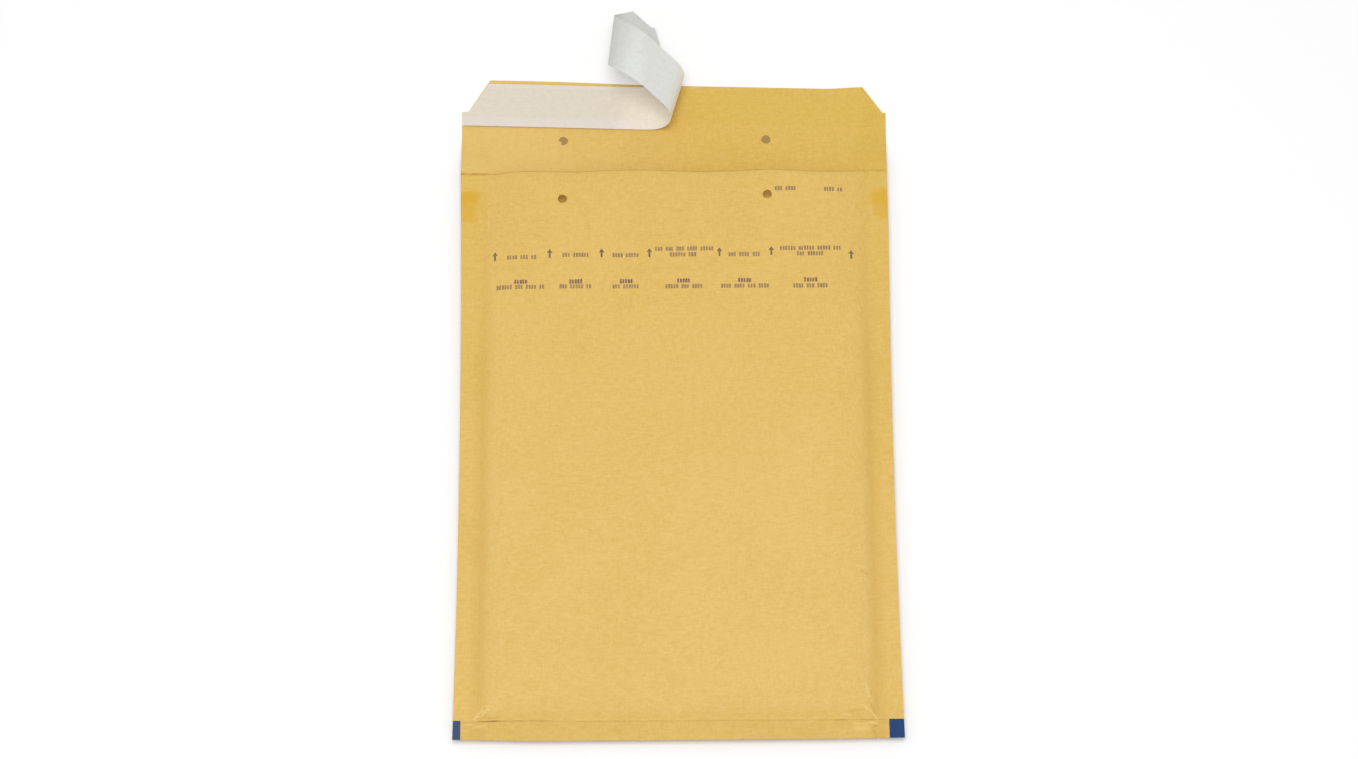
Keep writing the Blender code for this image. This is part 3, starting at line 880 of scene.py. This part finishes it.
def bubbles_tree():
    """Stands a bubble on each wall of the pouch, at each point of a staggered grid in its middle plane."""
    tree = bpy.data.node_groups.new("rows of bubbles", "GeometryNodeTree")
    nodes = Nodes(tree)
    sizes = ("Pitch", "Diameter", "Height", "Clear Height", "Middle Plane", "Width", "Length", "Start")
    inputs = {"Pouch": "Geometry", **dict.fromkeys(sizes, "Float"), "Punch Clearance": "Float"}
    inputs |= {"First Punch": "Vector", "Second Punch": "Vector", "Film": "Material"}
    for name, kind in inputs.items():
        tree.interface.new_socket(name, in_out="INPUT", socket_type="NodeSocket" + kind)
    tree.interface.new_socket("Lining", in_out="OUTPUT", socket_type="NodeSocketGeometry")
    given = nodes.add("NodeGroupInput", output=tuple(inputs))
    pouch, pitch, diameter, height, clear_height, middle, width, length, start = given[:9]
    punch_clearance, first_punch, second_punch, film = given[9:]

    # Points: every second row is shifted by half a pitch
    row_step = pitch * (math.sqrt(3) / 2)
    columns = (width / pitch).floor() + 1
    rows = (length / row_step).floor() + 1
    grid_size = {"Size X": (columns - 1) * pitch, "Size Y": (rows - 1) * row_step}
    grid = nodes.add("GeometryNodeMeshGrid", sockets={**grid_size, "Vertices X": columns, "Vertices Y": rows})
    odd = (nodes.add("GeometryNodeInputIndex") % rows) % 2
    offset = {0: (odd - 0.5) * pitch * 0.5, 1: start + (rows - 1) * row_step * 0.5, 2: middle}
    offset = nodes.add("ShaderNodeCombineXYZ", sockets=offset)
    points = nodes.add("GeometryNodeSetPosition", sockets={"Geometry": grid, "Offset": offset})
    # The punch has burst the bubbles round each hole
    for hole in (first_punch, second_punch):
        between = {0: nodes.add("GeometryNodeInputPosition"), 1: hole}
        away = nodes.add("ShaderNodeVectorMath", {"operation": "DISTANCE"}, between, output=1)
        burst = {"Geometry": points, "Selection": away < punch_clearance}
        points = nodes.add("GeometryNodeDeleteGeometry", sockets=burst)

    # One bubble: half a ball on a flat base. It is laid flat, and remembers how far each point will stand up
    sphere = {"Segments": BUBBLE_SIDES, "Rings": BUBBLE_RINGS, "Radius": 1.0}
    ball = nodes.add("GeometryNodeMeshUVSphere", sockets=sphere)
    x, y, z = nodes.parts(nodes.add("GeometryNodeInputPosition"))
    dome = nodes.add("GeometryNodeDeleteGeometry", sockets={"Geometry": ball, "Selection": z < -0.01})
    dome = nodes.add("GeometryNodeSetShadeSmooth", sockets={"Geometry": dome})
    circle = {"Vertices": BUBBLE_SIDES, "Radius": 1.0}
    base = nodes.add("GeometryNodeMeshCircle", {"fill_type": "NGON"}, circle)
    base = nodes.add("GeometryNodeFlipFaces", sockets={"Mesh": base})
    dome = nodes.add("GeometryNodeJoinGeometry", sockets={0: [dome, base]})
    standing = {0: dome, 1: z.at_least(0.0) ** BUBBLE_ROUNDNESS}
    remembered = {"captured": ("FLOAT", "raised")}
    dome, raised = nodes.add("GeometryNodeCaptureAttribute", remembered, standing, output=(0, 1))
    flat = nodes.add("ShaderNodeCombineXYZ", sockets={0: x * diameter * 0.5, 1: y * diameter * 0.5, 2: 0.0})
    dome = nodes.add("GeometryNodeSetPosition", sockets={"Geometry": dome, "Position": flat})

    parts = [pouch]
    for direction in (-1.0, 1.0):
        ray = {"Target Geometry": pouch, "Ray Direction": (0.0, 0.0, direction), "Ray Length": 0.02}
        found = ("Hit Distance", "Hit Position")
        reach, film_spot = nodes.add("GeometryNodeRaycast", sockets=ray, output=found)
        too_low = {"Geometry": points, "Selection": reach < clear_height}
        kept = nodes.add("GeometryNodeDeleteGeometry", sockets=too_low)
        # Inputs 2 and 3 and output 1 of this node are its decimal numbers
        sizes_drawn = {2: SMALLEST_BUBBLE, 3: 1.0, "Seed": BUBBLE_SEED}
        size = nodes.add("FunctionNodeRandomValue", {"data_type": "FLOAT"}, sizes_drawn, output=1)
        row = {"Points": kept, "Instance": dome, "Scale": size}
        row = nodes.add("GeometryNodeInstanceOnPoints", sockets=row)
        row = nodes.add("GeometryNodeRealizeInstances", sockets={"Geometry": row})
        stand = nodes.add("ShaderNodeCombineXYZ", sockets={2: raised * height * -direction})
        spot = nodes.add("ShaderNodeVectorMath", {"operation": "ADD"}, {0: film_spot, 1: stand})
        row = nodes.add("GeometryNodeSetPosition", sockets={"Geometry": row, "Position": spot})
        # Bubbles that hang from the front wall are turned over, so their faces are too
        if direction > 0:
            row = nodes.add("GeometryNodeFlipFaces", sockets={"Mesh": row})
        parts.append(row)
    whole = nodes.add("GeometryNodeJoinGeometry", sockets={0: parts})
    whole = nodes.add("GeometryNodeRealizeInstances", sockets={"Geometry": whole})
    whole = nodes.add("GeometryNodeSetMaterial", sockets={"Geometry": whole, "Material": film})
    nodes.add("NodeGroupOutput", sockets={"Lining": whole}, output=())
    return tree


def bubble_film():
    look = Look("clear_bubble_film", Specular_IOR_Level=0.6)
    place = look.place()
    haze = look.grain(place, 90, detail=2.0)
    colour = look.blend(haze, linear(226, 230, 230), linear(240, 242, 241))
    return look.show(
        Base_Color=colour,
        Roughness=look.fade(haze, 0.3, 0.7, 0.14, 0.24),
        Alpha=look.fade(haze, 0.3, 0.7, 0.05, 0.08),
    )


lining = pouch_mesh()
punch(lining, in_flap_too=False)
middle_plane = PAPER + INNER_HEIGHT / 2
punches = [(x, y, middle_plane) for x, y, in_flap, _ in hole_places() if not in_flap]
bubbles = lining.modifiers.new("bubbles", "NODES")
bubbles.node_group = bubbles_tree()
bubble_sizes = {
    "Pitch": BUBBLE_PITCH,
    "Diameter": BUBBLE_DIAMETER,
    "Height": BUBBLE_HEIGHT,
    "Clear Height": BUBBLE_CLEAR_HEIGHT,
    "Middle Plane": middle_plane,
    "Width": 2 * (HALF_INSIDE - LINING_INSET - WELD_WIDTH) - BUBBLE_PITCH,
    "Length": BODY_LENGTH - BOTTOM_BAND - LINING_INSET - LINING_SETBACK - 2 * WELD_WIDTH,
    "Start": POCKET_BOTTOM + LINING_INSET + WELD_WIDTH,
    "Punch Clearance": (HOLE_DIAMETER + BUBBLE_DIAMETER) / 2 + CLEARANCE,
    "First Punch": punches[0],
    "Second Punch": punches[1],
    "Film": bubble_film(),
}
for item in bubbles.node_group.interface.items_tree:
    if item.name in bubble_sizes:
        bubbles[item.identifier] = bubble_sizes[item.name]
bubbled = bpy.data.meshes.new_from_object(lining.evaluated_get(bpy.context.evaluated_depsgraph_get()))
lining.modifiers.remove(bubbles)
lining.data = bubbled
lining.data.name = lining.name
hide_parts("bubble_lining")
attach(lining, "root")


# Glue band
# A band of clear hot-melt glue laid lengthwise on the flap by a comb of nozzles, so it has fine streaks.
# It stays tacky and shows the paper under it.
GLUE = 0.00015
GLUE_WIDTH = 0.0158
GLUE_MARGIN = 0.0045
GLUE_END = 0.0010
STRIP = 0.0002
STRIP_WIDTH = 0.0220
STRIP_SHORT = 0.008
STRIP_RISE = 0.0230
STRIP_TURN = math.radians(-1.95)
GLUE_LIFT = PAPER + CLEARANCE
STRIP_LIFT = GLUE_LIFT + GLUE + CLEARANCE


def strip_place(along, up):
    turned = Matrix.Rotation(STRIP_TURN, 2) @ Vector((along, up))
    return turned.x, turned.y + MOUTH + STRIP_RISE


def strip_end(side, up, inset=0.0):
    """Where a line along the strip meets the flap's cut edge, found in a few steps."""
    edge = side * HALF_WIDTH
    for _ in range(3):
        edge = flap_edge(side, strip_place(edge, up)[1])
    return edge - side * inset


def all_kept(i, j):
    return True


def slab(name, place, columns, rows, kept=all_kept):
    """A thin closed sheet over the kept cells of a grid; place(i, j, upper) gives its points."""
    skin = Skin()

    def corner(i, j, upper):
        return skin.point((i, j, upper), place(i, j, upper))

    cells = {(i, j) for i in range(columns) for j in range(rows) if kept(i, j)}
    for i, j in sorted(cells):
        for upper in (False, True):
            skin.face(*[corner(*spot, upper) for spot in cell_corners(i, j)])
        edges = {
            (i, j - 1): ((i, j), (i + 1, j)),
            (i, j + 1): ((i, j + 1), (i + 1, j + 1)),
            (i - 1, j): ((i, j), (i, j + 1)),
            (i + 1, j): ((i + 1, j), (i + 1, j + 1)),
        }
        for beside, (start, end) in edges.items():
            if beside not in cells:
                ends = [(*start, False), (*end, False), (*end, True), (*start, True)]
                skin.face(*[corner(*spot) for spot in ends])
    return skin.finish(name)


GLUE_COLUMNS = 150
GLUE_ROWS = 24
GLUE_STREAK = 0.00001
GLUE_STREAKS = 900
GLUE_STREAKS_ALONG = 12


def glue_mesh():
    def place(i, j, upper):
        up = GLUE_MARGIN + GLUE_WIDTH * j / GLUE_ROWS
        left = strip_end(-1, up, GLUE_END)
        right = strip_end(1, up, GLUE_END)
        x, y = drawn_in(*strip_place(mix(left, right, i / GLUE_COLUMNS), up))
        streak = noise.noise(Vector((x * GLUE_STREAKS_ALONG, up * GLUE_STREAKS, 0.7))) * GLUE_STREAK
        inside = min(j, GLUE_ROWS - j, 1)
        return x, y, GLUE_LIFT + (GLUE + streak * inside if upper else 0.0)

    return slab("glue_band", place, GLUE_COLUMNS, GLUE_ROWS)


def clear_glue():
    look = Look("clear_hot_melt_glue", Specular_IOR_Level=0.4)
    place = look.place()
    streaks = look.grain(place, 500, detail=2.0, stretch=(40.0, 1.0, 1.0), turn=-1.4)
    colour = look.blend(streaks, linear(240, 218, 96), linear(250, 230, 118))
    return look.show(
        Base_Color=colour,
        Roughness=look.fade(streaks, 0.3, 0.7, 0.40, 0.30),
        Alpha=look.fade(streaks, 0.25, 0.75, 0.06, 0.08),
        Normal=look.relief(streaks, 0.000003),
    )


glue = glue_mesh()
glue.data.materials.append(clear_glue())
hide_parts("adhesive_strip")
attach(glue, "root")


# Cover strip
# The siliconised paper strip over the glue. Its left half is still stuck down; the right half is peeled off
# and springs back over itself in two round bends, which show its smooth silicone side.
PEEL_X = -0.0126
FIRST_LEAN = math.radians(14.5)
FIRST_RADIUS = 0.01044
FIRST_ANGLE = math.radians(146.6)
SECOND_START = 0.0399
SECOND_LEAN = math.radians(25.7)
SECOND_RADIUS = 0.0123
SECOND_ANGLE = math.radians(188.1)
# Along the strip from the peel line: where the white silicone side comes to show, and where painted shade
# greys it
WHITE_START = 0.012
WHITE_END = 0.024
CURL_SHADE_START = 0.040
CURL_SHADE_END = 0.074
STRIP_ROWS = 22
STRIP_ROW_GAP = 0.0003
STUCK_LINES = 60
PEELED_LINES = 130


def rolled(point, flat, start, lean, radius, angle):
    """Rolls what lies past a slanting line up and over a cylinder that stands on that line."""
    across_line = Vector((math.cos(lean), -math.sin(lean), 0.0))
    along_line = Vector((math.sin(lean), math.cos(lean), 0.0))
    line = Vector((start, 0.0, 0.0))
    turned = min(max((flat - line).dot(across_line) / radius, 0.0), angle)
    offset = point - line
    straight = offset.dot(across_line) - turned * radius
    forward = (radius - point.z) * math.sin(turned) + straight * math.cos(turned)
    height = radius - (radius - point.z) * math.cos(turned) + straight * math.sin(turned)
    moved = along_line * offset.dot(along_line) + across_line * forward
    return Vector((start + moved.x, moved.y, height))


def strip_mesh():
    notch_left = (MOUTH + NOTCH_RISE_LEFT - strip_place(-HALF_WIDTH, 0.0)[1]) / math.cos(STRIP_TURN)
    notch_right = (MOUTH + NOTCH_RISE_RIGHT - strip_place(HALF_WIDTH, 0.0)[1]) / math.cos(STRIP_TURN)
    ups = [STRIP_WIDTH * k / STRIP_ROWS for k in range(STRIP_ROWS + 1)]
    for notch in (notch_left, notch_right):
        ups = [up for up in ups if abs(up - notch) > STRIP_ROW_GAP] + [notch]
    ups.sort()
    bends = [
        (PEEL_X + SECOND_START, SECOND_LEAN, SECOND_RADIUS, SECOND_ANGLE),
        (PEEL_X, FIRST_LEAN, FIRST_RADIUS, FIRST_ANGLE),
    ]

    def alongs(up):
        left = [-HALF_WIDTH, NOTCH_LEFT - HALF_WIDTH]
        right = [HALF_WIDTH - NOTCH_RIGHT - STRIP_SHORT, HALF_WIDTH - STRIP_SHORT]
        if up > notch_left:
            left = [strip_end(-1, up)] * 2
        if up > notch_right:
            right = [strip_end(1, up, STRIP_SHORT)] * 2
        peel = PEEL_X + up * math.tan(FIRST_LEAN)
        stuck = [mix(left[1], peel, k / STUCK_LINES) for k in range(1, STUCK_LINES)]
        peeled = [mix(peel, right[0], k / PEELED_LINES) for k in range(PEELED_LINES)]
        return left + stuck + peeled + right

    grid = [alongs(up) for up in ups]
    columns = len(grid[0]) - 1
    flats = {}

    def place(i, j, upper):
        flat = Vector((grid[j][i], ups[j], STRIP if upper else 0.0))
        point = flat
        for bend in bends:
            point = rolled(point, flat, *bend)
        spot = (*drawn_in(*strip_place(point.x, point.y)), point.z + STRIP_LIFT)
        flats[tuple(np.float32(spot))] = (flat.x, flat.y)
        return spot

    def kept(i, j):
        if i == 0:
            return ups[j] < notch_left
        if i == columns - 1:
            return ups[j] < notch_right
        return True

    made = slab("cover_strip", place, columns, len(ups) - 1, kept)
    laid_flat = made.data.attributes.new("laid_flat", "FLOAT_VECTOR", "POINT")
    for vertex, value in zip(made.data.vertices, laid_flat.data):
        value.vector = (*flats[tuple(np.float32(vertex.co))], 0.0)
    return made


def siliconised_paper():
    look = Look("siliconised_paper", Specular_IOR_Level=0.4, Emission_Strength=0.15)
    flat = look.add("ShaderNodeAttribute", {"attribute_name": "laid_flat"}, output="Vector")
    along, up, _ = look.parts(flat)
    clouds = look.grain(flat, 420, detail=3.0, roughness=0.6)
    fibres = look.grain(flat, 1100, detail=3.0, stretch=(4.0, 1.0, 1.0))
    cross_fibres = look.grain(flat, 1200, detail=3.0, stretch=(1.0, 4.0, 1.0))
    tone = look.fade(clouds * 0.36 + fibres * 0.36 + cross_fibres * 0.28, 0.35, 0.65)
    white = look.blend(tone, linear(213, 215, 211), linear(221, 223, 220))
    # Painted shade greys the strip from its second bend on towards the tail
    curl_shade = look.blend(tone, linear(196, 198, 196), linear(206, 208, 205))
    white = look.blend(look.fade(along, PEEL_X + CURL_SHADE_START, PEEL_X + CURL_SHADE_END), white, curl_shade)
    # Where it is still stuck down, the glue shows through it as a beige field between paler margins
    beige = look.blend(tone, linear(214, 203, 185), linear(221, 211, 195))
    margin = look.blend(tone, linear(217, 207, 196), linear(222, 213, 204))
    glue_top = GLUE_MARGIN + GLUE_WIDTH
    over_glue = look.fade(up, GLUE_MARGIN - 0.0006, GLUE_MARGIN + 0.0010)
    over_glue = over_glue * look.fade(up, glue_top + 0.0004, glue_top - 0.0008)
    stuck_look = look.blend(over_glue, margin, beige)
    lifted = along - up * math.tan(FIRST_LEAN) - PEEL_X
    freed = look.blend(tone, linear(217, 206, 191), linear(225, 214, 200))
    stuck_look = look.blend(look.fade(lifted, -0.011, 0.002), stuck_look, freed)
    colour = look.blend(look.fade(lifted, WHITE_START, WHITE_END), stuck_look, white)
    # A painted glow stands in for daylight through the thin paper, brightest in the loop under it, where it
    # lightens the shade
    in_loop = look.fade(lifted, -0.020, -0.009) * look.fade(lifted, 0.030, 0.018)
    return look.show(
        Base_Color=colour,
        Roughness=look.fade(clouds, 0.3, 0.7, 0.46, 0.56),
        Emission_Color=look.blend(in_loop, (0.33, 0.30, 0.24, 1.0), (0.85, 0.75, 0.58, 1.0)),
        Normal=look.relief(tone, 0.00002),
    )


strip = strip_mesh()
strip.data.materials.append(siliconised_paper())
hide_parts("release_liner")
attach(strip, "root")


# Print
# Two rows of small print across the front, laid on the paper by a rubber roller in thin grey-brown ink:
# arrows that point to the mouth, and groups of short bars beside and below them.
INK = 0.00003
ARROW_HEIGHT = 0.0044
ARROW_HEAD = 0.0019
ARROW_WIDTH = 0.0026
ARROW_STEM = 0.0009
ARROWS = ((-0.0840, 0.0940), (-0.0584, 0.0947), (-0.0342, 0.0949), (-0.0119, 0.0948), (0.0208, 0.0949))
ARROWS += ((0.0450, 0.0953), (0.0823, 0.0936))
# Rows of bars: middle x and y, width
BAR_HEIGHT = 0.0022
BAR_PITCH = 0.00125
BAR_SHARE = 0.72
BAR_WIDTHS = (0.85, 1.15)
BAR_HEIGHTS = (0.86, 1.0)
FIRST_GROUP = (3, 7)
NEXT_GROUP = (4, 8)
BARS = (
    (-0.0713, 0.0930, 0.0140), (-0.0461, 0.0940, 0.0126), (-0.0228, 0.0938, 0.0126), (0.0043, 0.0967, 0.0271),
    (0.0042, 0.0938, 0.0131), (0.0327, 0.0937, 0.0154), (0.0635, 0.0966, 0.0289), (0.0635, 0.0938, 0.0131),
    (-0.0717, 0.0781, 0.0228), (-0.0461, 0.0783, 0.0154), (-0.0226, 0.0781, 0.0130), (0.0041, 0.0779, 0.0172),
    (0.0325, 0.0779, 0.0223), (0.0631, 0.0777, 0.0163), (0.0519, 0.1269, 0.0094), (0.0745, 0.1265, 0.0085),
)
BOLD_BARS = tuple((middle, 0.0807, 0.0062) for middle in (-0.0717, -0.0461, -0.0226, 0.0041, 0.0325, 0.0632))
PRINT_SEED = 11
# Inks, and how far the sheet shows through them where they lie thin
DARK_INK = (112, 84, 82)
PALE_INK = (146, 116, 92)
SHEET = (228, 193, 112)
SHEET_SHOWS = 0.35


def ink_patch(skin, corners):
    """A thin patch of ink on the front panel; corners run round it."""
    top, bottom = [], []
    for x, y in corners:
        height = front_inside(x, y) + PAPER
        top.append(skin.point((x, y, True, len(skin.places)), (x, y, height + INK)))
        bottom.append(skin.point((x, y, False, len(skin.places)), (x, y, height - INK)))
    skin.face(*top)
    skin.face(*reversed(bottom))
    for k in range(len(corners)):
        skin.face(bottom[k - 1], bottom[k], top[k], top[k - 1])


def bar_row(skin, rolls, middle, y, width, height):
    """A row of small bars of uneven height, in groups with a gap between them."""
    count = max(round(width / BAR_PITCH), 2)
    group = rolls.integers(*FIRST_GROUP)
    for k in range(count):
        if k == group and count - k > 2:
            group = k + rolls.integers(*NEXT_GROUP)
            continue
        left = middle - width / 2 + k * BAR_PITCH
        right = left + BAR_PITCH * BAR_SHARE * rolls.uniform(*BAR_WIDTHS)
        low = y - height / 2
        high = low + height * rolls.uniform(*BAR_HEIGHTS)
        ink_patch(skin, [(left, low), (right, low), (right, high), (left, high)])


def printed_look(name, ink):
    look = Look(name, Specular_IOR_Level=0.2)
    spread_ink = look.grain(look.place(), 1400, detail=2.0)
    paler = [round(mix(dark, pale, SHEET_SHOWS)) for dark, pale in zip(ink, SHEET)]
    return look.show(
        Base_Color=look.blend(look.fade(spread_ink, 0.35, 0.65), linear(*ink), linear(*paler)),
        Roughness=look.fade(spread_ink, 0.3, 0.7, 0.60, 0.75),
    )


# The arrows and the bold bars are printed in the darker ink
arrows = Skin()
for x, y in ARROWS:
    foot, tip = y - ARROW_HEIGHT / 2, y + ARROW_HEIGHT / 2
    shoulder = tip - ARROW_HEAD
    stem, wing = ARROW_STEM / 2, ARROW_WIDTH / 2
    outline = [(x - stem, foot), (x + stem, foot), (x + stem, shoulder), (x - stem, shoulder)]
    ink_patch(arrows, outline)
    ink_patch(arrows, [(x - wing, shoulder), (x + wing, shoulder), (x, tip)])
rolls = np.random.default_rng(PRINT_SEED)
for middle, y, width in BOLD_BARS:
    bar_row(arrows, rolls, middle, y, width, BAR_HEIGHT)
bars = Skin()
for middle, y, width in BARS:
    bar_row(bars, rolls, middle, y, width, BAR_HEIGHT)
for skin, name, ink in ((arrows, "printed_arrows", DARK_INK), (bars, "printed_bars", PALE_INK)):
    printed = skin.finish(name)
    printed.data.materials.append(printed_look(name + "_ink", ink))
    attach(printed, "root")


# Floor and light
# A white sweep of paper under one broad soft lamp above the envelope's lower end, with the rest of the room
# as an even white glow. Under the flap the floor holds a brown patch of painted shade, which is what the
# flap's holes show.
FLOOR_HALF = 6.0
FLOOR_WHITE = (0.90, 0.90, 0.90, 1.0)
FLOOR_GLOW = 0.11
SHADE_HALF = 0.088
SHADE_LENGTH = 0.036
SHADE_SOFT = 0.004
SHADE_BROWN = linear(170, 138, 86)
LAMP_PLACE = (-0.08, -0.14, 1.85)
LAMP_SIZE = 1.1
LAMP_POWER = 17.5
ROOM_GLOW = 0.55

floor_mesh = bpy.data.meshes.new("floor")
floor_bm = bmesh.new()
bmesh.ops.create_grid(floor_bm, x_segments=1, y_segments=1, size=FLOOR_HALF)
floor_bm.to_mesh(floor_mesh)
floor_bm.free()
floor = bpy.data.objects.new("floor", floor_mesh)
bpy.context.scene.collection.objects.link(floor)
sweep = Look("white_sweep", Roughness=0.9, Specular_IOR_Level=0.0)
seen = sweep.add("ShaderNodeLightPath", output="Is Camera Ray")
floor_x, floor_y, _ = sweep.parts(sweep.place())
half_length = SHADE_LENGTH / 2
shaded = sweep.fade(abs(floor_x), SHADE_HALF, SHADE_HALF - SHADE_SOFT)
shaded = shaded * sweep.fade(abs(floor_y - MOUTH - half_length), half_length, half_length - SHADE_SOFT)
sweep.show(
    Base_Color=sweep.blend(shaded, FLOOR_WHITE, SHADE_BROWN),
    Emission_Color=sweep.blend(shaded, (1, 1, 1, 1), (0, 0, 0, 1)),
    Emission_Strength=seen * FLOOR_GLOW,
)
floor_mesh.materials.append(sweep.material)

lamp_data = bpy.data.lights.new("overhead", "AREA")
lamp_data.shape = "DISK"
lamp_data.size = LAMP_SIZE
lamp_data.energy = LAMP_POWER
lamp = bpy.data.objects.new("overhead", lamp_data)
bpy.context.scene.collection.objects.link(lamp)
lamp.location = LAMP_PLACE
lamp.rotation_euler = (-lamp.location).to_track_quat("-Z", "Y").to_euler()

world = bpy.data.worlds.new("room")
bpy.context.scene.world = world
world.use_nodes = True
room = Nodes(world.node_tree)
glow = world.node_tree.nodes["Background"]
glow.inputs["Color"].default_value = (1, 1, 1, 1)
in_view = room.add("ShaderNodeLightPath", output="Is Camera Ray")
room.plug(glow.inputs["Strength"], in_view * (1 - ROOM_GLOW) + ROOM_GLOW)


# Camera
# It looks steeply down on the envelope from its bottom end, from 1.6 m away with a long lens, and is turned a
# little on its axis, all as in the photograph.
CAMERA_AIM = Vector((0.001448, 0.035009, 0.0))
CAMERA_DISTANCE = 1.60416
CAMERA_ELEVATION = math.radians(70.242)
CAMERA_ROLL = math.radians(-0.447)
CAMERA_LENS = 91.8
camera_data = bpy.data.cameras.new("camera")
camera_data.lens = CAMERA_LENS
camera_data.sensor_width = 36.0
camera = bpy.data.objects.new("camera", camera_data)
bpy.context.scene.collection.objects.link(camera)
back = Vector((0, -math.cos(CAMERA_ELEVATION), math.sin(CAMERA_ELEVATION)))
right = Vector((1, 0, 0))
up = back.cross(right)
turned_right = right * math.cos(CAMERA_ROLL) + up * math.sin(CAMERA_ROLL)
turned_up = up * math.cos(CAMERA_ROLL) - right * math.sin(CAMERA_ROLL)
camera.matrix_world = Matrix.Translation(CAMERA_AIM + back * CAMERA_DISTANCE) @ Matrix(
    (turned_right, turned_up, back)
).transposed().to_4x4()
bpy.context.scene.camera = camera
bpy.context.scene.view_settings.view_transform = "Standard"
